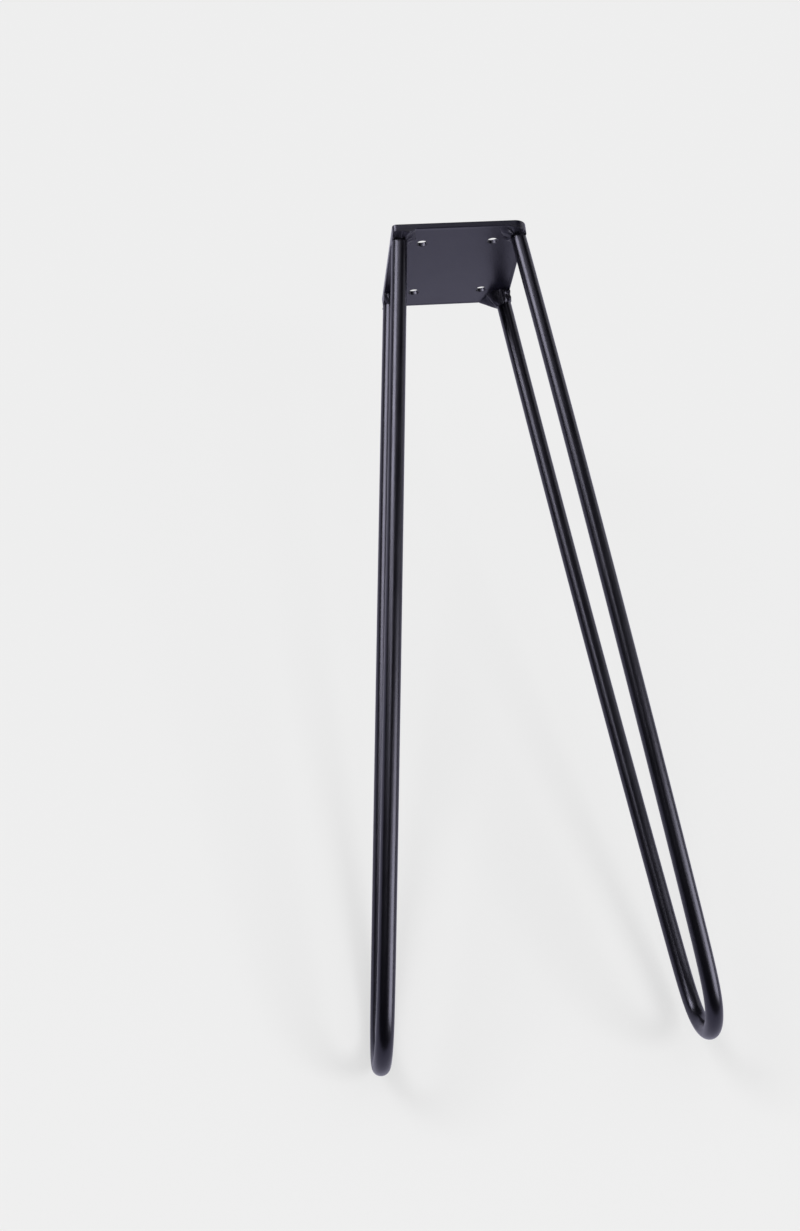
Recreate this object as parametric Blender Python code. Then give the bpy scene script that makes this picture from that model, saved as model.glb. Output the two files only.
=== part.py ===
"""Steel bench leg: a flat mounting plate carried by two splayed round-rod hairpins.

Metres, +Z up. The origin is the middle of the plate's top face, the feet point to -Z,
X runs across the two hairpins and Y along each of them.
"""
import math

import bmesh
import bpy
import numpy as np
from mathutils import Vector

# Overall
LEG_HEIGHT = 0.400
FOOT_SPREAD = 0.147

# Mounting plate
PLATE_WIDTH = 0.069
PLATE_DEPTH = 0.0815
PLATE_THICKNESS = 0.003
PLATE_CORNER_RADIUS = 0.0048
PLATE_EDGE_ROUND = 0.0004

# Screw holes
HOLE_DIAMETER = 0.0056
HOLE_SIDE_MARGIN = 0.0162
HOLE_END_MARGIN = 0.0152

# Rod hairpins
ROD_DIAMETER = 0.008
ROD_END_MARGIN = 0.0085
ROD_EDGE_INSET = 0.0001
ROD_BOW_RADIUS = 4.5
FOOT_BEND_RADIUS = 0.020
FOOT_BEND_FADE = 0.0090

# Weld beads, each hand-laid and different: height below the plate and reach out from the rod,
# towards the plate's middle in X, its end in Y, its side in X and its middle in Y
WELD_HEIGHTS = {
    "weld_right_front": (0.0034, 0.0036, 0.0048, 0.0040),
    "weld_right_back": (0.0074, 0.0064, 0.0050, 0.0042),
    "weld_left_front": (0.0033, 0.0035, 0.0056, 0.0042),
    "weld_left_back": (0.0046, 0.0042, 0.0050, 0.0040),
}
WELD_REACHES = {
    "weld_right_front": (0.0050, 0.0052, 0.0040, 0.0044),
    "weld_right_back": (0.0072, 0.0076, 0.0042, 0.0034),
    "weld_left_front": (0.0044, 0.0052, 0.0042, 0.0046),
    "weld_left_back": (0.0050, 0.0054, 0.0040, 0.0042),
}
WELD_LIP = 0.0006
WELD_LUMP = 0.0004
WELD_EDGE_INSET = 0.0001
WELD_OPENING_ANGLE = 48.0

# Clearance between solids that touch in the real part
JOINT_GAP = 0.0003

# Mesh fineness
ROD_SIDES = 24
CORNER_STEPS = 8
HOLE_SIDES = 32
WELD_STEPS = 30
WELD_LEVELS = 6

ROD_RADIUS = ROD_DIAMETER / 2
UNDERSIDE = -PLATE_THICKNESS
JOINT_PLANE = UNDERSIDE - JOINT_GAP
FOOT_AXIS_Z = -LEG_HEIGHT + ROD_RADIUS
ROD_TOP_X = PLATE_WIDTH / 2 - ROD_RADIUS - ROD_EDGE_INSET
ROD_SPACING = PLATE_DEPTH - 2 * ROD_END_MARGIN
HOLE_X = PLATE_WIDTH / 2 - HOLE_SIDE_MARGIN
HOLE_Y = PLATE_DEPTH / 2 - HOLE_END_MARGIN
FOOT_X = FOOT_SPREAD / 2
SPLAY = math.atan2(FOOT_X - ROD_TOP_X, JOINT_PLANE - FOOT_AXIS_Z)
SLANT_LENGTH = (JOINT_PLANE - FOOT_AXIS_Z) / math.cos(SPLAY)


def clear_scene():
    for obj in list(bpy.data.objects):
        bpy.data.objects.remove(obj, do_unlink=True)


def make_material(name, color, roughness, metallic):
    mat = bpy.data.materials.new(name)
    mat.use_nodes = True
    shader = mat.node_tree.nodes["Principled BSDF"]
    shader.inputs["Base Color"].default_value = (*color, 1.0)
    shader.inputs["Roughness"].default_value = roughness
    shader.inputs["Metallic"].default_value = metallic
    mat.diffuse_color = (*color, 1.0)
    return mat


def add_object(name, bm, mat, smooth_angle):
    mesh = bpy.data.meshes.new(name)
    bmesh.ops.recalc_face_normals(bm, faces=bm.faces)
    bm.to_mesh(mesh)
    bm.free()
    mesh.materials.append(mat)
    mesh.shade_smooth()
    mesh.set_sharp_from_angle(angle=math.radians(smooth_angle))
    obj = bpy.data.objects.new(name, mesh)
    bpy.context.scene.collection.objects.link(obj)
    return obj


# Hairpin centre line, in the plane of one hairpin

def trace_half(bend_length):
    """Points from the foot's tip up one rod: length, distance across, height, heading."""
    total = SLANT_LENGTH * 1.2
    length = np.linspace(0.0, total, 4001)
    bow = 1.0 / ROD_BOW_RADIUS
    fade = np.exp(-np.clip(length - bend_length, 0.0, None) / FOOT_BEND_FADE)
    curvature = bow + (1.0 / FOOT_BEND_RADIUS - bow) * fade
    step = length[1] - length[0]
    heading = np.concatenate([[0.0], np.cumsum((curvature[1:] + curvature[:-1]) * step / 2)])
    mid = (heading[1:] + heading[:-1]) / 2
    across = np.concatenate([[0.0], np.cumsum(np.cos(mid) * step)])
    height = np.concatenate([[0.0], np.cumsum(np.sin(mid) * step)])
    return length, across, height, heading


def spacing_at_plate(bend_length):
    length, across, height, heading = trace_half(bend_length)
    end = int(np.argmax(height >= SLANT_LENGTH))
    if end == 0:
        return 1.0
    return 2.0 * float(np.interp(SLANT_LENGTH, height[: end + 1], across[: end + 1]))


def solve_bend_length():
    """Length of the full bend that brings the rods to ROD_SPACING at the plate."""
    short = 0.0
    long = FOOT_BEND_RADIUS * 1.6
    for _ in range(40):
        middle = (short + long) / 2
        if spacing_at_plate(middle) > ROD_SPACING:
            short = middle
        else:
            long = middle
    return (short + long) / 2


def half_samples():
    """Centre-line samples that crowd where the rod bends."""
    length, across, height, heading = trace_half(solve_bend_length())
    end = int(np.argmax(height >= SLANT_LENGTH))
    stop = float(np.interp(SLANT_LENGTH, height[: end + 1], length[: end + 1]))
    density = heading / math.radians(5.0) + length / 0.045
    count = int(math.ceil(float(np.interp(stop, length, density))))
    marks = np.linspace(0.0, float(np.interp(stop, length, density)), count + 1)
    spots = np.interp(marks, density, length)
    return [
        (
            float(np.interp(s, length, across)),
            float(np.interp(s, length, height)),
            float(np.interp(s, length, heading)),
        )
        for s in spots
    ]


UP_SLANT = Vector((-math.sin(SPLAY), 0.0, math.cos(SPLAY)))
FACE_NORMAL = Vector((math.cos(SPLAY), 0.0, math.sin(SPLAY)))
FOOT_CENTRE = Vector((FOOT_X, 0.0, FOOT_AXIS_Z))


def on_hairpin(across, height):
    return FOOT_CENTRE + UP_SLANT * height + Vector((0.0, across, 0.0))


def hairpin_stations(samples):
    """Centre point and direction of travel, from one plate end round the foot to the other."""
    stations = []
    for across, height, heading in reversed(samples):
        travel = Vector((0.0, math.cos(heading), 0.0)) - UP_SLANT * math.sin(heading)
        stations.append((on_hairpin(-across, height), travel))
    for across, height, heading in samples[1:]:
        travel = Vector((0.0, math.cos(heading), 0.0)) + UP_SLANT * math.sin(heading)
        stations.append((on_hairpin(across, height), travel))
    return stations


def build_hairpin(name, samples, mat, side):
    """Tube swept along the hairpin, both ends cut level just under the plate."""
    bm = bmesh.new()
    stations = hairpin_stations(samples)
    rings = []
    for index, (centre, travel) in enumerate(stations):
        outward = FACE_NORMAL.cross(travel).normalized()
        ring = []
        for k in range(ROD_SIDES):
            angle = 2 * math.pi * k / ROD_SIDES + SPLAY
            reach = outward * math.cos(angle) - FACE_NORMAL * math.sin(angle)
            point = centre + reach * ROD_RADIUS
            if index in (0, len(stations) - 1):
                point += travel * ((JOINT_PLANE - point.z) / travel.z)
            ring.append(bm.verts.new((side * point.x, side * point.y, point.z)))
        rings.append(ring)
    for first, second in zip(rings, rings[1:]):
        for k in range(ROD_SIDES):
            after = (k + 1) % ROD_SIDES
            bm.faces.new((first[k], first[after], second[after], second[k]))
    bm.faces.new(rings[0])
    bm.faces.new(rings[-1])
    return add_object(name, bm, mat, 40.0)


# Mounting plate

def rounded_outline():
    half_x = PLATE_WIDTH / 2 - PLATE_CORNER_RADIUS
    half_y = PLATE_DEPTH / 2 - PLATE_CORNER_RADIUS
    points = []
    for quarter, (sx, sy) in enumerate(((1, 1), (-1, 1), (-1, -1), (1, -1))):
        for k in range(CORNER_STEPS + 1):
            angle = math.pi / 2 * (quarter + k / CORNER_STEPS)
            x = sx * half_x + PLATE_CORNER_RADIUS * math.cos(angle)
            y = sy * half_y + PLATE_CORNER_RADIUS * math.sin(angle)
            points.append((x, y))
    return points


def build_hole_cutters():
    bm = bmesh.new()
    for sx in (-1, 1):
        for sy in (-1, 1):
            tool = bmesh.ops.create_cone(
                bm,
                cap_ends=True,
                segments=HOLE_SIDES,
                radius1=HOLE_DIAMETER / 2,
                radius2=HOLE_DIAMETER / 2,
                depth=PLATE_THICKNESS * 3,
            )
            shift = Vector((sx * HOLE_X, sy * HOLE_Y, UNDERSIDE / 2))
            bmesh.ops.translate(bm, verts=tool["verts"], vec=shift)
    mesh = bpy.data.meshes.new("hole_cutters")
    bm.to_mesh(mesh)
    bm.free()
    cutters = bpy.data.objects.new("hole_cutters", mesh)
    bpy.context.scene.collection.objects.link(cutters)
    cutters.hide_render = True
    cutters.display_type = "WIRE"
    return cutters


def build_plate(mat):
    bm = bmesh.new()
    outline = rounded_outline()
    top = [bm.verts.new((x, y, 0.0)) for x, y in outline]
    bottom = [bm.verts.new((x, y, UNDERSIDE)) for x, y in outline]
    bm.faces.new(top)
    bm.faces.new(list(reversed(bottom)))
    for k in range(len(outline)):
        after = (k + 1) % len(outline)
        bm.faces.new((top[k], bottom[k], bottom[after], top[after]))
    plate = add_object("mounting_plate", bm, mat, 30.0)
    bevel = plate.modifiers.new("edge_round", "BEVEL")
    bevel.width = PLATE_EDGE_ROUND
    bevel.segments = 2
    bevel.limit_method = "ANGLE"
    bevel.angle_limit = math.radians(60.0)
    holes = plate.modifiers.new("screw_holes", "BOOLEAN")
    holes.operation = "DIFFERENCE"
    holes.solver = "EXACT"
    holes.object = build_hole_cutters()
    return plate


# Weld beads

def outside_plate(x, y):
    """Distance outside the plate's rounded outline, less the bead's edge inset."""
    gap_x = x - (PLATE_WIDTH / 2 - PLATE_CORNER_RADIUS)
    gap_y = y - (PLATE_DEPTH / 2 - PLATE_CORNER_RADIUS)
    beyond = math.hypot(max(gap_x, 0.0), max(gap_y, 0.0)) + min(max(gap_x, gap_y), 0.0)
    return beyond - PLATE_CORNER_RADIUS + WELD_EDGE_INSET


def reach_to_outline(x, y, direction_x, direction_y):
    near = 0.0
    far = PLATE_WIDTH
    for _ in range(40):
        middle = (near + far) / 2
        if outside_plate(x + direction_x * middle, y + direction_y * middle) < 0.0:
            near = middle
        else:
            far = middle
    return near


def lumps(angle, depth, phase):
    """Uneven swell of a hand-laid bead, between -1 and 1."""
    wave = 0.55 * math.sin(2.0 * angle + phase) + 0.30 * math.sin(5.0 * angle + 2.3 * phase)
    return wave + 0.15 * math.sin(9.0 * angle + 4.0 * depth + 1.7 * phase)


def around(values, angle):
    """Smooth closed curve through four values, a quarter turn apart."""
    middle, end, side, inner = values
    total = (middle + end + side + inner) / 4
    total += (middle - side) / 2 * math.cos(angle)
    total += (end - inner) / 2 * math.sin(angle)
    return total + (middle - end + side - inner) / 4 * math.cos(2 * angle)


def weld_point(name, axis, angle, depth, phase, outer):
    """Point of the bead's outer or inner wall at one angle and fraction of the bead's height."""
    height = around(WELD_HEIGHTS[name], angle)
    height += WELD_LUMP * lumps(angle + 0.7, 1.0, phase + 1.0)
    foot, top_x, top_y, slope_y = axis
    drop = height * depth
    centre_x = top_x + drop * math.tan(SPLAY)
    centre_y = top_y + drop * slope_y
    direction_x = -math.cos(angle)
    direction_y = math.sin(angle)
    bore = ROD_RADIUS + JOINT_GAP
    bore /= math.hypot(direction_x * math.cos(SPLAY), direction_y)
    if not outer:
        reach = bore
    else:
        spread = around(WELD_REACHES[name], angle) - WELD_LIP
        swell = WELD_LUMP * lumps(angle, depth, phase) * (1.0 - depth ** 6)
        reach = bore + WELD_LIP + spread * (1.0 - depth) ** 1.15 + swell
        limit = reach_to_outline(centre_x, centre_y, direction_x, direction_y)
        reach = max(min(reach, limit), bore + WELD_LIP * 0.6)
    x = centre_x + direction_x * reach
    y = centre_y + direction_y * reach
    return Vector((x, y, foot - drop))


def build_weld(name, samples, mat, side, end, phase):
    """Open collar of weld metal round a rod's end, ground flush with the plate's side."""
    across_low, height_low, _ = samples[-2]
    across_top, height_top, _ = samples[-1]
    low = on_hairpin(across_low, height_low)
    high = on_hairpin(across_top, height_top)
    slope_y = (low.y - high.y) / (high.z - low.z)
    axis = (JOINT_PLANE, high.x, high.y, slope_y)
    turn = math.pi - math.radians(WELD_OPENING_ANGLE)
    bm = bmesh.new()
    walls = {}
    for outer in (True, False):
        levels = [k / WELD_LEVELS for k in range(WELD_LEVELS + 1)] if outer else [0.0, 1.0]
        for i in range(WELD_STEPS + 1):
            angle = -turn + 2 * turn * i / WELD_STEPS
            for level in levels:
                point = weld_point(name, axis, angle, level, phase, outer)
                spot = (side * point.x, side * end * point.y, point.z)
                walls[outer, i, level] = bm.verts.new(spot)
    outer_levels = [k / WELD_LEVELS for k in range(WELD_LEVELS + 1)]
    for i in range(WELD_STEPS):
        for first, second in zip(outer_levels, outer_levels[1:]):
            bm.faces.new(
                (
                    walls[True, i, first],
                    walls[True, i, second],
                    walls[True, i + 1, second],
                    walls[True, i + 1, first],
                )
            )
        bm.faces.new(
            (
                walls[False, i, 0.0],
                walls[False, i + 1, 0.0],
                walls[False, i + 1, 1.0],
                walls[False, i, 1.0],
            )
        )
        for level in (0.0, 1.0):
            bm.faces.new(
                (
                    walls[True, i, level],
                    walls[True, i + 1, level],
                    walls[False, i + 1, level],
                    walls[False, i, level],
                )
            )
    for i in (0, WELD_STEPS):
        rim = [walls[True, i, level] for level in outer_levels]
        bm.faces.new(rim + [walls[False, i, 1.0], walls[False, i, 0.0]])
    return add_object(name, bm, mat, 50.0)


def main():
    clear_scene()
    plate_coat = make_material("plate_powder_coat", (0.014, 0.013, 0.016), 0.42, 0.0)
    rod_coat = make_material("rod_powder_coat", (0.012, 0.011, 0.014), 0.38, 0.0)
    weld_coat = make_material("weld_powder_coat", (0.013, 0.012, 0.015), 0.34, 0.0)
    samples = half_samples()
    build_plate(plate_coat)
    build_hairpin("hairpin_right", samples, rod_coat, 1)
    build_hairpin("hairpin_left", samples, rod_coat, -1)
    build_weld("weld_right_front", samples, weld_coat, 1, -1, 0.4)
    build_weld("weld_right_back", samples, weld_coat, 1, 1, 2.1)
    build_weld("weld_left_front", samples, weld_coat, -1, 1, 3.9)
    build_weld("weld_left_back", samples, weld_coat, -1, -1, 5.2)


main()
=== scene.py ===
"""Dresses a welded hairpin bench leg: a flat plate with four screw holes and two bent rods.

All sizes are in metres. The plate's upper face is at z = 0 and the rods run down to the feet.
"""

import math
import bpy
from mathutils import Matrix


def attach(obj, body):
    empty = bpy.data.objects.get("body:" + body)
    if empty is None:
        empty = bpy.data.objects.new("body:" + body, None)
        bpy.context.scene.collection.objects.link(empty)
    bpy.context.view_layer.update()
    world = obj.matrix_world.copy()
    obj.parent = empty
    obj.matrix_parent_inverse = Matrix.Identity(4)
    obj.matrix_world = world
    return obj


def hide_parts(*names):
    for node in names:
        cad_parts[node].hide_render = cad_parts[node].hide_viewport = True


bl_info = {
    "name": "Hairpin Bench Leg",
    "version": (1, 0, 0),
    "blender": (4, 5, 0),
    "location": "3D View > Sidebar > Bench Leg",
    "description": "Makes a powder-coated steel bench leg of one plate and two hairpin rods",
    "category": "Object",
}

import bmesh
import bpy
import numpy as np
from mathutils import Vector

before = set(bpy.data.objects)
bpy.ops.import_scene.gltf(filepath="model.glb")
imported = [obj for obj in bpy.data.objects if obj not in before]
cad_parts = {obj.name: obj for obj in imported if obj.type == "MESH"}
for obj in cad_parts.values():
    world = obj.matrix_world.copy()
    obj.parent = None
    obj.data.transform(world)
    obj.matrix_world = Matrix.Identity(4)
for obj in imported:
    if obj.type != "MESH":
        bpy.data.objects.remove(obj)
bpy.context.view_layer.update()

QUARTER_TURN = math.pi / 2
HALF_TURN = math.pi
FULL_TURN = 2 * math.pi

# The solids leave this gap at each welded joint, and the rods' lean is measured from below it.
JOINT_GAP = 0.0003

# From a rod's outer side to the plate's side.
ROD_SIDE_GAP = 0.0001

# Length over which the bend at the foot fades into the rod.
FOOT_BEND_FADE = 0.0090

# The rods and the welds are ground flush with the plate's side down to this depth under the
# plate. From there the grinding runs out at this slope.
GROUND_DEPTH = 0.0030
GROUND_SLOPE = 0.45

# How a screw hole opens out at the upper face: extra radius and height of each loop.
HOLE_FLARE = ((0.0014, 0.0), (0.0012, 0.0), (0.0006, -0.0004), (0.0001, -0.00075), (0.0, -0.0010))

# Each weld: side of the plate in X, end of the plate in Y, and the phase of its ripples.
WELDS = {
    "right_front": (1, -1, 0.4),
    "right_back": (1, 1, 2.1),
    "left_front": (-1, -1, 3.9),
    "left_back": (-1, 1, 5.2),
}

# Radius of each plate corner after grinding, as a share of the plate's corner radius.
CORNER_SHARES = {(1, 1): 1.0, (-1, 1): 1.0, (-1, -1): 0.45, (1, -1): 1.3}

# How far each weld climbs down its rod: towards the plate's middle in X, its end in Y,
# its side in X and its middle in Y.
WELD_HEIGHTS = {
    "right_front": (0.0022, 0.0021, 0.0023, 0.0028),
    "right_back": (0.0080, 0.0062, 0.0056, 0.0073),
    "left_front": (0.0026, 0.0023, 0.0022, 0.0028),
    "left_back": (0.0052, 0.0050, 0.0036, 0.0050),
}

# How far each weld spreads over the plate from its rod, in the same four directions.
WELD_REACHES = {
    "right_front": (0.0037, 0.0074, 0.0050, 0.0026),
    "right_back": (0.0044, 0.0070, 0.0036, 0.0016),
    "left_front": (0.0042, 0.0072, 0.0050, 0.0042),
    "left_back": (0.0046, 0.0060, 0.0048, 0.0040),
}

# Blobs of each weld: direction in degrees from the plate's side towards its end, place from
# the plate (0) to the rod (1), width in degrees, width along the slope, and height in metres.
WELD_BLOBS = {
    "right_front": (
        (133, 0.52, 7, 0.60, -0.0012),
        (166, 0.36, 17, 0.32, 0.0006),
        (186, 0.40, 8, 0.24, -0.0004),
        (208, 0.50, 14, 0.26, 0.0009),
        (240, 0.45, 14, 0.24, 0.0005),
    ),
    "right_back": (
        (303, 0.20, 18, 0.12, 0.0014),
        (301, 0.40, 14, 0.09, -0.0007),
        (301, 0.59, 17, 0.15, 0.0012),
        (150, 0.55, 11, 0.22, 0.0005),
        (172, 0.50, 9, 0.24, -0.0008),
        (198, 0.55, 13, 0.26, 0.0009),
        (232, 0.62, 10, 0.24, 0.0002),
    ),
    "left_front": (
        (100, 0.50, 8, 0.50, -0.0004),
        (117, 0.50, 10, 0.30, 0.0014),
        (128, 0.82, 10, 0.14, 0.0008),
        (152, 0.55, 12, 0.24, 0.0007),
        (186, 0.40, 12, 0.24, 0.0005),
        (224, 0.55, 14, 0.26, 0.0005),
    ),
    "left_back": (
        (150, 0.50, 13, 0.24, 0.0009),
        (182, 0.45, 10, 0.24, -0.0006),
        (212, 0.50, 13, 0.24, 0.0009),
        (262, 0.45, 16, 0.26, 0.0002),
    ),
}

# The power that shapes each weld's slope: near 1.2 it is full and round, above 2 it is hollow.
WELD_HOLLOWS = {
    "right_front": 1.35,
    "right_back": 1.75,
    "left_front": 1.75,
    "left_back": 1.40,
}

# Tails of each weld along the plate: direction, width in degrees and extra reach in metres.
# A weld thins out towards the tip of its tail.
WELD_TAILS = {
    "right_front": ((150, 17, 0.0022),),
    "right_back": ((143, 12, 0.0048),),
    "left_front": ((130, 13, 0.0018),),
    "left_back": ((140, 16, 0.0014),),
}

# Fine ripples of every weld: height, waves round the rod, turn with the weld's own phase and
# lean down its slope. Heights are in metres on the surface and shares of the size at an edge.
SURFACE_RIPPLES = ((0.00010, 9, 1, 2.2), (0.00007, 17, 2, -3.0), (0.00004, 31, -1, 9.0))
REACH_RIPPLES = ((0.05, 5, 1, 0.0), (0.04, 11, -1, 0.0))
CLIMB_RIPPLES = ((0.05, 4, 2, 0.0), (0.03, 13, 1, 0.0))

# Finish of each coat: roughness, and the depths of its orange peel and its grit in metres.
COAT_FINISHES = {
    "plate": (0.30, 0.000012, 0.000002),
    "rod": (0.30, 0.000012, 0.000002),
    "weld": (0.38, 0.000030, 0.000005),
}

# The tone that the camera sees round the leg, on the clean part of the table and behind it.
BACKDROP_COLOUR = (0.855, 0.855, 0.855, 1.0)

# Each softbox: degrees to the right and up of straight in front of the leg, width, height
# and power in watts. All of them stand at the same distance from the leg's middle.
SOFTBOX_DISTANCE = 1.1
SOFTBOXES = {
    "left_softbox": ((-40.0, 38.0), 0.58, 0.42, 8.4),
    "left_softbox_edge": ((-8.0, 42.0), 0.36, 0.30, 1.0),
    "front_panel": ((12.0, 37.0), 0.30, 0.24, 0.17),
    "left_low_panel": ((-24.0, 17.0), 0.30, 0.24, 1.4),
    "right_softbox": ((54.0, -16.0), 0.80, 0.74, 15.2),
    "right_softbox_edge": ((22.0, -5.0), 0.34, 0.24, 0.9),
    "right_wash": ((72.0, 42.0), 0.50, 0.60, 1.1),
}

# Each soft sun: its direction from the leg, its strength and its width in degrees.
SUN_DISTANCE = 2.0
SOFT_SUNS = {
    "left_soft_sun": ((-0.62, -0.72, 0.62), 0.80, 24.0),
    "right_soft_sun": ((0.60, -0.78, -0.12), 1.00, 22.0),
}


class LegSizes(bpy.types.PropertyGroup):
    """Sizes of the plate, the rods and the welds."""

    leg_height: bpy.props.FloatProperty(
        name="Leg height",
        description="From the plate's upper face to the underside of the feet",
        default=0.400,
        min=0.1,
        subtype="DISTANCE",
        unit="LENGTH",
    )
    foot_spread: bpy.props.FloatProperty(
        name="Foot spread",
        description="From the middle of one foot to the middle of the other",
        default=0.147,
        min=0.02,
        subtype="DISTANCE",
        unit="LENGTH",
    )
    plate_width: bpy.props.FloatProperty(
        name="Plate width",
        description="Across the two hairpins, along X",
        default=0.069,
        min=0.02,
        subtype="DISTANCE",
        unit="LENGTH",
    )
    plate_depth: bpy.props.FloatProperty(
        name="Plate depth",
        description="Along each hairpin, along Y",
        default=0.0815,
        min=0.02,
        subtype="DISTANCE",
        unit="LENGTH",
    )
    plate_thickness: bpy.props.FloatProperty(
        name="Plate thickness",
        description="Thickness of the steel plate",
        default=0.003,
        min=0.001,
        subtype="DISTANCE",
        unit="LENGTH",
    )
    plate_corner: bpy.props.FloatProperty(
        name="Plate corner radius",
        description="Radius of the plate's corners, seen from above",
        default=0.0048,
        min=0.001,
        subtype="DISTANCE",
        unit="LENGTH",
    )
    plate_edge: bpy.props.FloatProperty(
        name="Plate edge round",
        description="Rounding of the plate's edges under the powder coat",
        default=0.00045,
        min=0.0001,
        subtype="DISTANCE",
        unit="LENGTH",
    )
    hole_diameter: bpy.props.FloatProperty(
        name="Screw hole diameter",
        description="Diameter of the four screw holes",
        default=0.0056,
        min=0.001,
        subtype="DISTANCE",
        unit="LENGTH",
    )
    hole_side_margin: bpy.props.FloatProperty(
        name="Hole margin at the sides",
        description="From the plate's side to the middle of a screw hole",
        default=0.0162,
        min=0.004,
        subtype="DISTANCE",
        unit="LENGTH",
    )
    hole_end_margin: bpy.props.FloatProperty(
        name="Hole margin at the ends",
        description="From the plate's end to the middle of a screw hole",
        default=0.0152,
        min=0.004,
        subtype="DISTANCE",
        unit="LENGTH",
    )
    rod_diameter: bpy.props.FloatProperty(
        name="Rod diameter",
        description="Diameter of the round steel bar",
        default=0.008,
        min=0.002,
        subtype="DISTANCE",
        unit="LENGTH",
    )
    rod_end_margin: bpy.props.FloatProperty(
        name="Rod margin",
        description="From the plate's end to the middle of a rod",
        default=0.0085,
        min=0.004,
        subtype="DISTANCE",
        unit="LENGTH",
    )
    rod_bow: bpy.props.FloatProperty(
        name="Rod bow radius",
        description="Radius of the slight outward bow of the rods",
        default=4.5,
        min=0.5,
        unit="LENGTH",
    )
    foot_bend: bpy.props.FloatProperty(
        name="Foot bend radius",
        description="Radius of the bend at the foot, to the middle of the rod",
        default=0.020,
        min=0.008,
        subtype="DISTANCE",
        unit="LENGTH",
    )


class LegColours(bpy.types.PropertyGroup):
    """Colours of the powder coat and of the table."""

    plate_coat: bpy.props.FloatVectorProperty(
        name="Plate coat",
        description="Black powder coat of the plate",
        default=(0.0022, 0.0018, 0.0060),
        min=0.0,
        max=1.0,
        subtype="COLOR",
    )
    rod_coat: bpy.props.FloatVectorProperty(
        name="Rod coat",
        description="Black powder coat of the rods",
        default=(0.0012, 0.0010, 0.0022),
        min=0.0,
        max=1.0,
        subtype="COLOR",
    )
    weld_coat: bpy.props.FloatVectorProperty(
        name="Weld coat",
        description="Black powder coat of the welds",
        default=(0.0030, 0.0026, 0.0046),
        min=0.0,
        max=1.0,
        subtype="COLOR",
    )
    dust: bpy.props.FloatVectorProperty(
        name="Dust",
        description="Tiny pale specks of dust on the coat",
        default=(0.16, 0.155, 0.15),
        min=0.0,
        max=1.0,
        subtype="COLOR",
    )
    table: bpy.props.FloatVectorProperty(
        name="Table",
        description="Pale table that the leg lies on",
        default=(0.80, 0.80, 0.80),
        min=0.0,
        max=1.0,
        subtype="COLOR",
    )


def leg_sizes():
    """The sizes of this scene."""
    return bpy.context.scene.bench_leg_sizes


def leg_colours():
    """The colours of this scene."""
    return bpy.context.scene.bench_leg_colours


def new_piece(name, points, faces):
    """A new mesh object from points and faces."""
    mesh = bpy.data.meshes.new(name)
    mesh.from_pydata([tuple(point) for point in points], [], faces)
    mesh.validate()
    mesh.update()
    piece = bpy.data.objects.new(name, mesh)
    bpy.context.scene.collection.objects.link(piece)
    return piece


def finish_piece(piece, material, node):
    """Gives a piece its coat and puts it in the place of its CAD solid."""
    piece.data.materials.append(material)
    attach(piece, "root")
    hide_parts(node)


def shade_smooth(piece):
    """Smooth shading on every face."""
    for face in piece.data.polygons:
        face.use_smooth = True


def face_outward(piece):
    """Turns every face of a piece outward, judged by its lowest face."""
    mesh = bmesh.new()
    mesh.from_mesh(piece.data)
    bmesh.ops.recalc_face_normals(mesh, faces=mesh.faces)
    mesh.normal_update()
    lowest = min(mesh.faces, key=lambda face: face.calc_center_median().z)
    if lowest.normal.z > 0:
        bmesh.ops.reverse_faces(mesh, faces=mesh.faces)
    mesh.to_mesh(piece.data)
    mesh.free()


def ring_faces(rings, sides):
    """Quads between closed rings of points that follow each other in one list."""
    faces = []
    for ring in range(rings - 1):
        for side in range(sides):
            after = (side + 1) % sides
            here = ring * sides
            there = here + sides
            faces.append((here + side, here + after, there + after, there + side))
    return faces


# Powder coat


def link(tree, source, target):
    """Joins two sockets of a node tree."""
    tree.links.new(source, target)


def noise_node(tree, coordinate, scale, detail, roughness=0.5):
    """A noise texture over the object."""
    node = tree.nodes.new("ShaderNodeTexNoise")
    node.inputs["Scale"].default_value = scale
    node.inputs["Detail"].default_value = detail
    node.inputs["Roughness"].default_value = roughness
    link(tree, coordinate, node.inputs["Vector"])
    return node


def range_node(tree, value, low, high, to_low, to_high):
    """Maps a value from one range to another."""
    node = tree.nodes.new("ShaderNodeMapRange")
    node.inputs["From Min"].default_value = low
    node.inputs["From Max"].default_value = high
    node.inputs["To Min"].default_value = to_low
    node.inputs["To Max"].default_value = to_high
    link(tree, value, node.inputs["Value"])
    return node.outputs["Result"]


def bump_node(tree, height, distance, normal=None):
    """A bump of the given height in metres, over an earlier one."""
    node = tree.nodes.new("ShaderNodeBump")
    node.inputs["Strength"].default_value = 1.0
    node.inputs["Distance"].default_value = distance
    link(tree, height, node.inputs["Height"])
    if normal is not None:
        link(tree, normal, node.inputs["Normal"])
    return node.outputs["Normal"]


def multiply_node(tree, first, second):
    """One value times another."""
    node = tree.nodes.new("ShaderNodeMath")
    node.operation = "MULTIPLY"
    link(tree, first, node.inputs[0])
    link(tree, second, node.inputs[1])
    return node.outputs["Value"]


def blend_shaders(tree, share, first, second):
    """Blends from one shader to another by a share."""
    node = tree.nodes.new("ShaderNodeMixShader")
    link(tree, share, node.inputs["Fac"])
    link(tree, first, node.inputs[1])
    link(tree, second, node.inputs[2])
    return node.outputs["Shader"]


def shade(colour, share=1.0):
    """A darker or lighter colour, with the fourth value that a socket takes."""
    return (colour[0] * share, colour[1] * share, colour[2] * share, 1.0)


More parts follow.
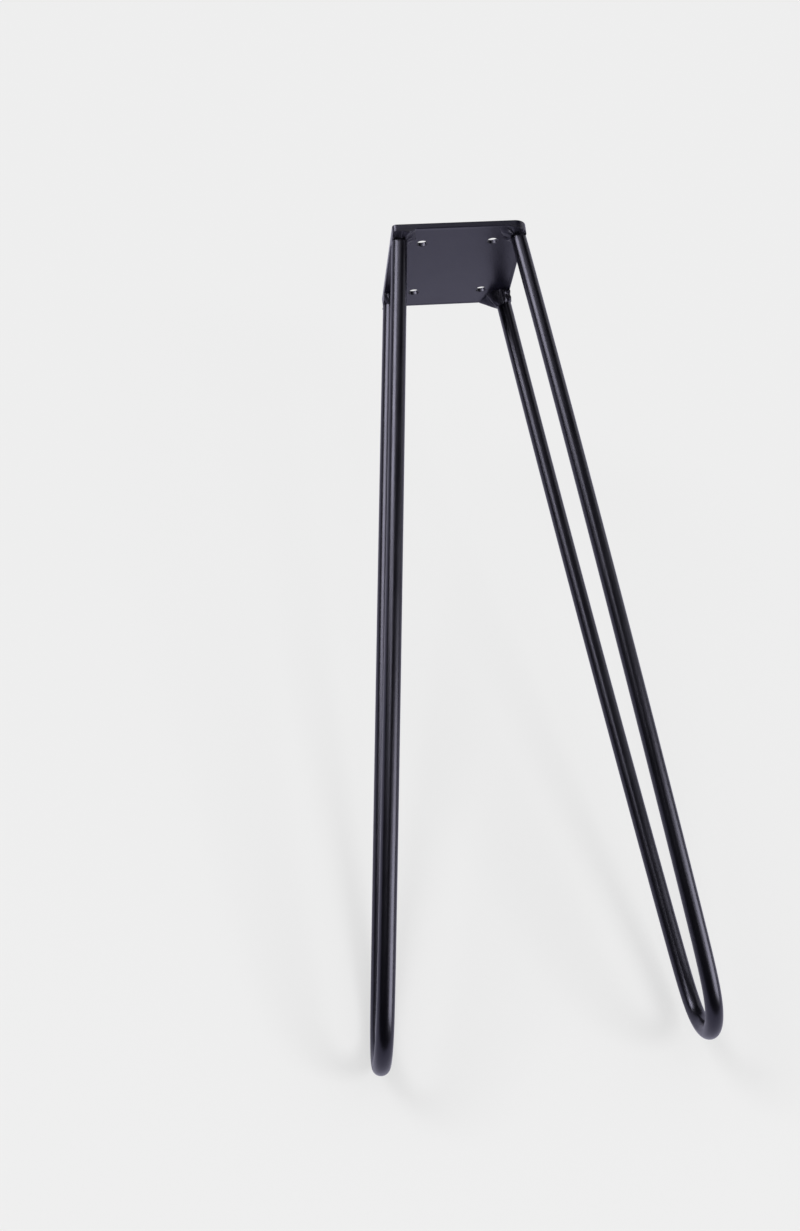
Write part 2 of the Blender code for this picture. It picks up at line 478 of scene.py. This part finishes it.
def powder_coat(name, colour, roughness, peel, grit):
    """Satin black powder coat with orange peel, fine grit and a few specks of dust."""
    uneven = 0.025
    material = bpy.data.materials.new(name)
    material.use_nodes = True
    material.diffuse_color = shade(colour)
    tree = material.node_tree
    tree.nodes.clear()
    output = tree.nodes.new("ShaderNodeOutputMaterial")
    shader = tree.nodes.new("ShaderNodeBsdfPrincipled")
    link(tree, shader.outputs["BSDF"], output.inputs["Surface"])
    place = tree.nodes.new("ShaderNodeTexCoord").outputs["Object"]

    broad = noise_node(tree, place, scale=55.0, detail=2.0)
    orange_peel = noise_node(tree, place, scale=620.0, detail=2.0, roughness=0.45)
    fine = noise_node(tree, place, scale=2600.0, detail=1.0)

    # A speck sits at the middle of about one cell in five.
    specks = tree.nodes.new("ShaderNodeTexVoronoi")
    specks.inputs["Scale"].default_value = 75.0
    specks.inputs["Randomness"].default_value = 1.0
    link(tree, place, specks.inputs["Vector"])
    distance = specks.outputs["Distance"]
    near_speck = range_node(tree, distance, low=0.010, high=0.022, to_low=1.0, to_high=0.0)
    chosen = tree.nodes.new("ShaderNodeSeparateColor")
    link(tree, specks.outputs["Color"], chosen.inputs["Color"])
    red = chosen.outputs["Red"]
    is_chosen = range_node(tree, red, low=0.80, high=0.82, to_low=0.0, to_high=0.75)
    speck = multiply_node(tree, near_speck, is_chosen)

    tone = tree.nodes.new("ShaderNodeMix")
    tone.data_type = "RGBA"
    tone.inputs["A"].default_value = shade(colour, 0.85)
    tone.inputs["B"].default_value = shade(colour, 1.2)
    link(tree, broad.outputs["Fac"], tone.inputs["Factor"])
    dusty = tree.nodes.new("ShaderNodeMix")
    dusty.data_type = "RGBA"
    dusty.inputs["B"].default_value = shade(leg_colours().dust)
    link(tree, speck, dusty.inputs["Factor"])
    link(tree, tone.outputs["Result"], dusty.inputs["A"])
    link(tree, dusty.outputs["Result"], shader.inputs["Base Color"])

    smoothest = roughness - uneven
    roughest = roughness + uneven
    gloss = range_node(tree, broad.outputs["Fac"], 0.3, 0.7, smoothest, roughest)
    link(tree, gloss, shader.inputs["Roughness"])
    shader.inputs["Metallic"].default_value = 0.0
    shader.inputs["IOR"].default_value = 1.5
    shader.inputs["Specular Tint"].default_value = (0.80, 0.78, 1.0, 1.0)

    smooth_bump = bump_node(tree, orange_peel.outputs["Fac"], peel)
    grit_bump = bump_node(tree, fine.outputs["Fac"], grit, smooth_bump)
    link(tree, grit_bump, shader.inputs["Normal"])
    return material


# Mounting plate


def plate_outline(inset, steps=14):
    """Points round the plate's outline, set in by the given distance."""
    sizes = leg_sizes()
    least_radius = 0.0002
    points = []
    for corner, (side, end) in enumerate(((1, 1), (-1, 1), (-1, -1), (1, -1))):
        full = max(sizes.plate_corner * CORNER_SHARES[(side, end)], inset + least_radius)
        radius = full - inset
        middle_x = side * (sizes.plate_width / 2 - full)
        middle_y = end * (sizes.plate_depth / 2 - full)
        for step in range(steps + 1):
            angle = (corner + step / steps) * QUARTER_TURN
            x = middle_x + radius * math.cos(angle)
            y = middle_y + radius * math.sin(angle)
            points.append((x, y))
    return points


def hole_outline(centre, radius, steps=56):
    """Points round a screw hole."""
    points = []
    for step in range(steps):
        angle = FULL_TURN * step / steps
        x = centre[0] + radius * math.cos(angle)
        y = centre[1] + radius * math.sin(angle)
        points.append((x, y))
    return points


def quarter_round(rounding, steps):
    """Inset and drop of each loop over a rounded edge, from its flat face to its side."""
    loops = []
    for step in range(steps + 1):
        angle = QUARTER_TURN * step / steps
        loops.append((rounding * (1 - math.sin(angle)), rounding * (1 - math.cos(angle))))
    return loops


def plate_profile(steps=6):
    """Inset and height of each loop down the plate's rounded outer edge.

    The coat is a little fatter along the lower rim. The flat ring before the upper edge keeps
    the shading of the upper face even.
    """
    sizes = leg_sizes()
    edge = sizes.plate_edge
    low = -sizes.plate_thickness
    flat_ring = 0.0003
    fat = 0.00012
    # Distance in from the rounded edge, and the share of the fat rim that is left there.
    rim_fade = ((0.0002, 0.92), (0.0014, 0.16), (0.0020, 0.0))
    loops = quarter_round(edge, steps)
    profile = [(edge + flat_ring, 0.0)]
    profile += [(inset, -drop) for inset, drop in loops]
    profile += [(inset, low - fat + drop) for inset, drop in reversed(loops)]
    profile += [(edge + distance, low - fat * share) for distance, share in rim_fade]
    return profile


def hole_profile(steps=4):
    """Extra radius and height of each loop down a screw hole with a small rounded lower rim."""
    low = -leg_sizes().plate_thickness
    rim = 0.00012
    flat_ring = 0.0002
    profile = list(HOLE_FLARE)
    profile += [(extra, low + drop) for extra, drop in reversed(quarter_round(rim, steps))]
    profile.append((rim + flat_ring, low))
    return profile


def loop_band(mesh, loops, in_hole):
    """Adds loops of points with quads between them, and returns the first and last loop's edges."""
    rows = [[mesh.verts.new(point) for point in loop] for loop in loops]
    for upper, lower in zip(rows, rows[1:]):
        for index in range(len(upper)):
            after = (index + 1) % len(upper)
            corners = [upper[index], upper[after], lower[after], lower[index]]
            if not in_hole:
                corners.reverse()
            face = mesh.faces.new(corners)
            face.smooth = True
    edges = []
    for row in (rows[0], rows[-1]):
        pairs = zip(row, row[1:] + row[:1])
        edges.append([mesh.edges.get(pair) for pair in pairs])
    return edges


def make_plate():
    """The mounting plate with rounded edges and four screw holes."""
    sizes = leg_sizes()
    mesh = bmesh.new()
    loops = []
    for inset, height in plate_profile():
        loops.append([(x, y, height) for x, y in plate_outline(inset)])
    upper_edges, lower_edges = loop_band(mesh, loops, in_hole=False)

    hole_x = sizes.plate_width / 2 - sizes.hole_side_margin
    hole_y = sizes.plate_depth / 2 - sizes.hole_end_margin
    for side in (-1, 1):
        for end in (-1, 1):
            centre = (side * hole_x, end * hole_y)
            loops = []
            for extra, height in hole_profile():
                ring = hole_outline(centre, sizes.hole_diameter / 2 + extra)
                loops.append([(x, y, height) for x, y in ring])
            upper, lower = loop_band(mesh, loops, in_hole=True)
            upper_edges += upper
            lower_edges += lower

    # The flat faces between the outline and the holes look up and down.
    for edges, direction in ((upper_edges, 1), (lower_edges, -1)):
        made = bmesh.ops.triangle_fill(mesh, use_beauty=True, use_dissolve=False, edges=edges)
        for item in made["geom"]:
            if isinstance(item, bmesh.types.BMFace):
                item.smooth = True
                item.normal_update()
                if item.normal.z * direction < 0:
                    item.normal_flip()

    mesh.normal_update()
    data = bpy.data.meshes.new("steel_plate")
    mesh.to_mesh(data)
    mesh.free()
    plate = bpy.data.objects.new("steel_plate", data)
    bpy.context.scene.collection.objects.link(plate)
    even = plate.modifiers.new("Flat faces stay flat", "WEIGHTED_NORMAL")
    even.mode = "FACE_AREA"
    even.weight = 100
    return plate


# Hairpin rods


def joint_height():
    """Height of the rods' ends in the solids, just under the plate."""
    return -leg_sizes().plate_thickness - JOINT_GAP


def foot_height():
    """Height of the rod's middle line at the foot."""
    sizes = leg_sizes()
    return -sizes.leg_height + sizes.rod_diameter / 2


def rod_top_x():
    """Distance of the rods' middle lines from the leg's middle, at the plate."""
    sizes = leg_sizes()
    return sizes.plate_width / 2 - sizes.rod_diameter / 2 - ROD_SIDE_GAP


def splay_angle():
    """Angle between a hairpin and the vertical."""
    spread = leg_sizes().foot_spread / 2 - rod_top_x()
    return math.atan2(spread, joint_height() - foot_height())


def bend_curve(bend_length, slant_length):
    """Length, heading, and distances across and up half a hairpin, from its foot's middle."""
    sizes = leg_sizes()
    spare = 1.2
    samples = 4001
    length = np.linspace(0.0, slant_length * spare, samples)
    step = length[1] - length[0]
    bow = 1 / sizes.rod_bow
    fade = np.exp(-np.clip(length - bend_length, 0.0, None) / FOOT_BEND_FADE)
    curvature = bow + (1 / sizes.foot_bend - bow) * fade
    heading = np.concatenate(([0.0], np.cumsum((curvature[1:] + curvature[:-1]) / 2 * step)))
    middle = (heading[1:] + heading[:-1]) / 2
    across = np.concatenate(([0.0], np.cumsum(np.cos(middle) * step)))
    height = np.concatenate(([0.0], np.cumsum(np.sin(middle) * step)))
    return length, heading, across, height


def hairpin_half():
    """The curve of half a hairpin, bent so far that its rod meets the plate in the right place."""
    sizes = leg_sizes()
    slant_length = (joint_height() - foot_height()) / math.cos(splay_angle())
    spacing = sizes.plate_depth - 2 * sizes.rod_end_margin
    halvings = 40
    # The full bend is shorter than a quarter turn, which is its radius times 1.57.
    low = 0.0
    high = sizes.foot_bend * 1.6
    for _ in range(halvings):
        bend_length = (low + high) / 2
        _, _, across, height = bend_curve(bend_length, slant_length)
        if 2 * np.interp(slant_length, height, across) > spacing:
            low = bend_length
        else:
            high = bend_length
    return bend_curve((low + high) / 2, slant_length)


def hairpin_path(rings=120):
    """Points, directions and bend of the right hairpin's middle line, from end to end.

    The rings of points crowd where the rod bends, and both ends are sunk into the plate.
    """
    sizes = leg_sizes()
    sunk = 0.0006
    crowding = 0.05
    splay = splay_angle()
    up_slant = np.array((-math.sin(splay), 0.0, math.cos(splay)))
    foot = np.array((sizes.foot_spread / 2, 0.0, foot_height()))
    length, heading, across, height = hairpin_half()
    top = (-sizes.plate_thickness + sunk - foot[2]) / math.cos(splay)
    end = float(np.interp(top, height, length))
    keep = length <= end
    travel = length[keep] + crowding * heading[keep]
    stops = np.interp(np.linspace(0.0, travel[-1], rings), travel, length[keep])
    half_across = np.interp(stops, length, across)
    half_height = np.interp(stops, length, height)
    half_heading = np.interp(stops, length, heading)
    points = []
    directions = []
    bends = []
    for side, order in ((-1, range(rings - 1, -1, -1)), (1, range(1, rings))):
        for index in order:
            angle = half_heading[index]
            outward = np.array((0.0, side * half_across[index], 0.0))
            forward = np.array((0.0, math.cos(angle), 0.0))
            points.append(foot + up_slant * half_height[index] + outward)
            directions.append(forward + side * up_slant * math.sin(angle))
            bends.append(angle)
    return np.array(points), np.array(directions), np.array(bends)


def ground_room(depth):
    """How far past the plate's side the grinding leaves the steel, at one depth under the plate."""
    return GROUND_SLOPE * max(depth - GROUND_DEPTH, 0.0)


def ground_flat(point):
    """Keeps the rod's outer side flush with the plate's side where the weld was ground."""
    sizes = leg_sizes()
    inset = 0.00006
    depth = -sizes.plate_thickness - point[2]
    point[0] = min(point[0], sizes.plate_width / 2 - inset + ground_room(depth))
    return point


def make_hairpin(name, side):
    """One rod, bent at the foot and a little flattened there, with its ends in the plate."""
    sizes = leg_sizes()
    sides = 48
    inset = 0.000005
    flattening = 0.012
    radius = sizes.rod_diameter / 2 - inset
    splay = splay_angle()
    outward = np.array((math.cos(splay), 0.0, math.sin(splay)))
    points, directions, bends = hairpin_path()
    steep = float(bends.max())
    verts = []
    for centre, direction, bend in zip(points, directions, bends):
        inward = np.cross(direction, outward)
        flat = 1.0 - flattening * math.sin(min(bend / steep, 1.0) * HALF_TURN) ** 2
        for step in range(sides):
            angle = FULL_TURN * step / sides
            offset = outward * math.cos(angle) + inward * math.sin(angle) * flat
            point = ground_flat(centre + offset * radius)
            verts.append((side * point[0], side * point[1], point[2]))
    faces = ring_faces(len(points), sides)
    faces.append(tuple(range(sides))[::-1])
    start = (len(points) - 1) * sides
    faces.append(tuple(range(start, start + sides)))
    rod = new_piece(name, verts, faces)
    shade_smooth(rod)
    face_outward(rod)
    return rod


# Welds


def around(values, angle):
    """A value that changes smoothly round the rod between the four given ones."""
    middle_x, end_y, side_x, middle_y = values
    turn = angle / QUARTER_TURN % 4
    corners = (side_x, end_y, middle_x, middle_y, side_x)
    index = int(turn)
    part = turn - index
    part = part * part * (3 - 2 * part)
    return corners[index] * (1 - part) + corners[index + 1] * part


def turned(angle, middle):
    """Distance in degrees between two directions."""
    return (math.degrees(angle) - middle + 180.0) % 360.0 - 180.0


def ripple(ripples, angle, phase, slope=0.0):
    """Height of a weld's fine ripples at one place."""
    total = 0.0
    for height, waves, turn, lean in ripples:
        total += height * math.sin(waves * angle + turn * phase + lean * slope)
    return total


def weld_lump(angle, slope, name, phase):
    """How far the weld bulges at one place, in metres. It doesn't bulge at its two edges."""
    bulge = ripple(SURFACE_RIPPLES, angle, phase, slope)
    for middle, place, width, length, height in WELD_BLOBS[name]:
        away = (turned(angle, middle) / width) ** 2 + ((slope - place) / length) ** 2
        bulge += height * math.exp(-away)
    off_plate = min(1.0, 5.0 * slope)
    off_rod = min(1.0, 6.0 * (1.0 - slope))
    return bulge * off_plate * off_rod


def weld_reach(angle, name, phase):
    """How far the weld spreads over the plate in one direction, in metres."""
    reach = around(WELD_REACHES[name], angle) * (1 + ripple(REACH_RIPPLES, angle, phase))
    for middle, width, extra in WELD_TAILS[name]:
        reach += extra * math.exp(-((turned(angle, middle) / width) ** 2))
    return reach


def weld_hollow(angle, name):
    """The power that shapes a weld's slope in one direction, more hollow in a tail."""
    tail_hollow = 2.15
    long_tail = 0.0036
    widening = 1.6
    share = 0.0
    for middle, width, extra in WELD_TAILS[name]:
        away = turned(angle, middle) / (widening * width)
        share += extra / long_tail * math.exp(-(away ** 2))
    hollow = WELD_HOLLOWS[name]
    return hollow + (tail_hollow - hollow) * min(share, 1.0)


def weld_height(angle, name, phase):
    """How far the weld climbs down the rod in one direction, in metres."""
    return around(WELD_HEIGHTS[name], angle) * (1 + ripple(CLIMB_RIPPLES, angle, phase))


def soft_limit(value, limit, blend):
    """A value held under a limit, with a rounded change where it reaches it."""
    under = (limit - value) / blend
    far_under = 30
    if under > far_under:
        return value
    return limit - blend * math.log(1 + math.exp(under))


def clip_to_plate(x, y, down, corner, lean):
    """Grinds a point back to the plate's rounded outline and along the leaning rod."""
    sizes = leg_sizes()
    inset = 0.00003
    rounding = 0.00012
    skin = 0.00005
    half_x = sizes.plate_width / 2 - inset + min(ground_room(down), lean * down + skin)
    half_y = sizes.plate_depth / 2 - inset
    x = soft_limit(x, half_x, rounding)
    y = soft_limit(y, half_y, rounding)
    over_x = x - (half_x - corner)
    over_y = y - (half_y - corner)
    reach = math.hypot(max(over_x, 0.0), max(over_y, 0.0))
    if over_x > 0 and over_y > 0 and reach > corner:
        x = half_x - corner + over_x * corner / reach
        y = half_y - corner + over_y * corner / reach
    return x, y


def make_weld(name):
    """One weld bead round the end of a rod, ground flush at the plate's side and end.

    Its first ring is hidden in the plate, its last one in the rod.
    """
    sizes = leg_sizes()
    side, end, phase = WELDS[name]
    radius = sizes.rod_diameter / 2
    in_plate = 0.0007
    in_rod = 0.0003
    overlap = 0.00004
    centre_x = rod_top_x()
    centre_y = sizes.plate_depth / 2 - sizes.rod_end_margin
    corner = sizes.plate_corner * CORNER_SHARES[(side, end)]
    lean = math.tan(splay_angle())
    steps = 180
    levels = 48
    verts = []
    for level in range(-1, levels + 1):
        slope = max(level, 0) / levels
        turn = slope * QUARTER_TURN
        for step in range(steps):
            angle = FULL_TURN * step / steps
            hollow = weld_hollow(angle, name)
            out = weld_reach(angle, name, phase) * max(math.cos(turn), 0.0) ** hollow
            down = weld_height(angle, name, phase) * math.sin(turn) ** hollow
            bulge = weld_lump(angle, slope, name, phase)
            out += bulge * math.cos(turn)
            down += bulge * math.sin(turn)
            if level == levels:
                out = -in_rod
            x = centre_x + lean * down + (radius + out) * math.cos(angle)
            y = centre_y + (radius + out) * math.sin(angle)
            x, y = clip_to_plate(x, y, down, corner, lean)
            z = -sizes.plate_thickness + overlap - down
            if level < 0:
                z += in_plate
            verts.append((side * x, end * y, z))
    weld = new_piece("weld_bead_" + name, verts, ring_faces(levels + 2, steps))
    shade_smooth(weld)
    face_outward(weld)
    return weld


# Table, light and camera


def table_material():
    """Matt pale table that is clear from behind.

    The camera sees it blended with the backdrop's tone, which leaves a soft shadow of the leg,
    faint by the plate and fuller at the feet. In the coat's gloss it is a little cooler.
    """
    colour = leg_colours().table
    material = bpy.data.materials.new("pale_table")
    material.use_nodes = True
    tree = material.node_tree
    tree.nodes.clear()
    output = tree.nodes.new("ShaderNodeOutputMaterial")
    matt = tree.nodes.new("ShaderNodeBsdfDiffuse")
    pale = tree.nodes.new("ShaderNodeEmission")
    pale.inputs["Color"].default_value = BACKDROP_COLOUR
    pale.inputs["Strength"].default_value = 1.0
    path = tree.nodes.new("ShaderNodeLightPath")
    cool = tree.nodes.new("ShaderNodeMix")
    cool.data_type = "RGBA"
    cool.inputs["A"].default_value = shade(colour)
    cool.inputs["B"].default_value = (colour[0] * 0.92, colour[1] * 0.90, colour[2] * 1.12, 1.0)
    link(tree, path.outputs["Is Glossy Ray"], cool.inputs["Factor"])
    link(tree, cool.outputs["Result"], matt.inputs["Color"])
    place = tree.nodes.new("ShaderNodeTexCoord").outputs["Object"]
    parts = tree.nodes.new("ShaderNodeSeparateXYZ")
    link(tree, place, parts.inputs["Vector"])
    clean = range_node(tree, parts.outputs["Z"], low=-0.40, high=-0.12, to_low=0.58, to_high=0.90)
    share = multiply_node(tree, path.outputs["Is Camera Ray"], clean)
    front = blend_shaders(tree, share, matt.outputs["BSDF"], pale.outputs["Emission"])
    clear = tree.nodes.new("ShaderNodeBsdfTransparent")
    behind = tree.nodes.new("ShaderNodeNewGeometry").outputs["Backfacing"]
    surface = blend_shaders(tree, behind, front, clear.outputs["BSDF"])
    link(tree, surface, output.inputs["Surface"])
    return material


def make_table():
    """The table that the leg lies on, behind it in the picture.

    The left foot touches it. It falls away behind the plate's end, which is propped up.
    """
    distance = 0.1350
    slope = 0.2802
    tilt = 0.0628
    reach = 6.0
    verts = []
    for x, z in ((-reach, -reach), (-reach, reach), (reach, reach), (reach, -reach)):
        verts.append((x, distance + tilt * x + slope * z, z))
    table = new_piece("pale_table", verts, [(0, 3, 2, 1)])
    if table.data.polygons[0].normal.y > 0:
        table.data.flip_normals()
    table.data.materials.append(table_material())


def background_node(tree, colour, strength):
    """An even light from all round."""
    node = tree.nodes.new("ShaderNodeBackground")
    node.inputs["Color"].default_value = colour
    node.inputs["Strength"].default_value = strength
    return node.outputs["Background"]


def make_world():
    """Even light for matt surfaces, a pale backdrop for the camera and dim surroundings for gloss."""
    world = bpy.data.worlds.new("studio")
    bpy.context.scene.world = world
    world.use_nodes = True
    tree = world.node_tree
    tree.nodes.clear()
    output = tree.nodes.new("ShaderNodeOutputWorld")
    path = tree.nodes.new("ShaderNodeLightPath")
    even = background_node(tree, colour=(1.0, 1.0, 1.0, 1.0), strength=0.67)
    pale = background_node(tree, colour=BACKDROP_COLOUR, strength=1.0)
    dim = background_node(tree, colour=(0.9, 0.9, 1.0, 1.0), strength=0.014)
    unseen = blend_shaders(tree, path.outputs["Is Glossy Ray"], even, dim)
    world_light = blend_shaders(tree, path.outputs["Is Camera Ray"], unseen, pale)
    link(tree, world_light, output.inputs["Surface"])


def aim(lamp, direction, distance):
    """Puts a lamp in the given direction from the leg's middle and turns it to the leg."""
    middle = Vector((0.0, 0.0, -0.2))
    direction = Vector(direction).normalized()
    lamp.location = middle + direction * distance
    lamp.rotation_euler = direction.to_track_quat("Z", "Y").to_euler()


def make_softbox(name):
    """A rectangular softbox that only shows as a soft streak on gloss."""
    place, width, height, power = SOFTBOXES[name]
    off = math.hypot(place[0], place[1])
    share = math.sin(math.radians(off)) / off
    direction = (place[0] * share, -math.cos(math.radians(off)), place[1] * share)
    light = bpy.data.lights.new(name, "AREA")
    light.shape = "RECTANGLE"
    light.size = width
    light.size_y = height
    light.energy = power
    lamp = bpy.data.objects.new(name, light)
    bpy.context.scene.collection.objects.link(lamp)
    aim(lamp, direction, SOFTBOX_DISTANCE)
    lamp.visible_diffuse = False
    lamp.visible_camera = False


def make_soft_sun(name):
    """A wide sun that only gives matt surfaces their soft shadows."""
    direction, strength, angle = SOFT_SUNS[name]
    light = bpy.data.lights.new(name, "SUN")
    light.energy = strength
    light.angle = math.radians(angle)
    lamp = bpy.data.objects.new(name, light)
    bpy.context.scene.collection.objects.link(lamp)
    aim(lamp, direction, SUN_DISTANCE)
    lamp.visible_glossy = False


def make_camera():
    """The camera, where the photograph was taken from."""
    place = (-0.134168, -0.814572, -0.463003)
    turn_in_degrees = (113.7135, 6.5187, -6.7614)
    data = bpy.data.cameras.new("camera")
    data.sensor_fit = "AUTO"
    data.sensor_width = 36.0
    data.lens = 52.26
    data.shift_x = -0.0658
    data.shift_y = -0.1431
    data.clip_start = 0.01
    data.clip_end = 50.0
    data.dof.use_dof = False
    camera = bpy.data.objects.new("camera", data)
    bpy.context.scene.collection.objects.link(camera)
    camera.location = place
    camera.rotation_euler = [math.radians(angle) for angle in turn_in_degrees]
    bpy.context.scene.camera = camera


# Operators


class BENCHLEG_OT_plate(bpy.types.Operator):
    """Makes the mounting plate"""

    bl_idname = "bench_leg.plate"
    bl_label = "Mounting plate"

    def execute(self, context):
        colour = leg_colours().plate_coat
        coat = powder_coat("plate_powder_coat", colour, *COAT_FINISHES["plate"])
        plate = make_plate()
        finish_piece(plate, coat, "mounting_plate")
        return {"FINISHED"}


class BENCHLEG_OT_hairpins(bpy.types.Operator):
    """Makes the two bent rods"""

    bl_idname = "bench_leg.hairpins"
    bl_label = "Hairpin rods"

    def execute(self, context):
        colour = leg_colours().rod_coat
        coat = powder_coat("rod_powder_coat", colour, *COAT_FINISHES["rod"])
        for name, side in (("right", 1), ("left", -1)):
            rod = make_hairpin("bent_rod_" + name, side)
            finish_piece(rod, coat, "hairpin_" + name)
        return {"FINISHED"}


class BENCHLEG_OT_welds(bpy.types.Operator):
    """Makes the four weld beads"""

    bl_idname = "bench_leg.welds"
    bl_label = "Weld beads"

    def execute(self, context):
        colour = leg_colours().weld_coat
        coat = powder_coat("weld_powder_coat", colour, *COAT_FINISHES["weld"])
        for name in WELDS:
            weld = make_weld(name)
            finish_piece(weld, coat, "weld_" + name)
        return {"FINISHED"}


class BENCHLEG_OT_stage(bpy.types.Operator):
    """Makes the table, the light and the camera"""

    bl_idname = "bench_leg.stage"
    bl_label = "Table, light and camera"

    def execute(self, context):
        context.scene.view_settings.view_transform = "Standard"
        make_table()
        make_world()
        for name in SOFTBOXES:
            make_softbox(name)
        for name in SOFT_SUNS:
            make_soft_sun(name)
        make_camera()
        return {"FINISHED"}


class BENCHLEG_PT_sidebar(bpy.types.Panel):
    """Sizes, colours and steps of the bench leg"""

    bl_label = "Bench Leg"
    bl_idname = "BENCHLEG_PT_sidebar"
    bl_space_type = "VIEW_3D"
    bl_region_type = "UI"
    bl_category = "Bench Leg"

    def draw(self, context):
        layout = self.layout
        sizes = layout.box()
        sizes.label(text="Sizes")
        for name in LegSizes.__annotations__:
            sizes.prop(context.scene.bench_leg_sizes, name)
        colours = layout.box()
        colours.label(text="Colours")
        for name in LegColours.__annotations__:
            colours.prop(context.scene.bench_leg_colours, name)
        layout.operator(BENCHLEG_OT_plate.bl_idname)
        layout.operator(BENCHLEG_OT_hairpins.bl_idname)
        layout.operator(BENCHLEG_OT_welds.bl_idname)
        layout.operator(BENCHLEG_OT_stage.bl_idname)


CLASSES = (
    LegSizes,
    LegColours,
    BENCHLEG_OT_plate,
    BENCHLEG_OT_hairpins,
    BENCHLEG_OT_welds,
    BENCHLEG_OT_stage,
    BENCHLEG_PT_sidebar,
)


def register():
    """Registers the classes and puts their settings on the scene."""
    for cls in CLASSES:
        bpy.utils.register_class(cls)
    bpy.types.Scene.bench_leg_sizes = bpy.props.PointerProperty(type=LegSizes)
    bpy.types.Scene.bench_leg_colours = bpy.props.PointerProperty(type=LegColours)


def unregister():
    """Takes the settings and the classes away again."""
    del bpy.types.Scene.bench_leg_colours
    del bpy.types.Scene.bench_leg_sizes
    for cls in reversed(CLASSES):
        bpy.utils.unregister_class(cls)


def main():
    """Makes the whole leg and its stage."""
    register()
    bpy.ops.bench_leg.plate()
    bpy.ops.bench_leg.hairpins()
    bpy.ops.bench_leg.welds()
    bpy.ops.bench_leg.stage()
    bpy.context.view_layer.update()


if __name__ == "__main__":
    main()
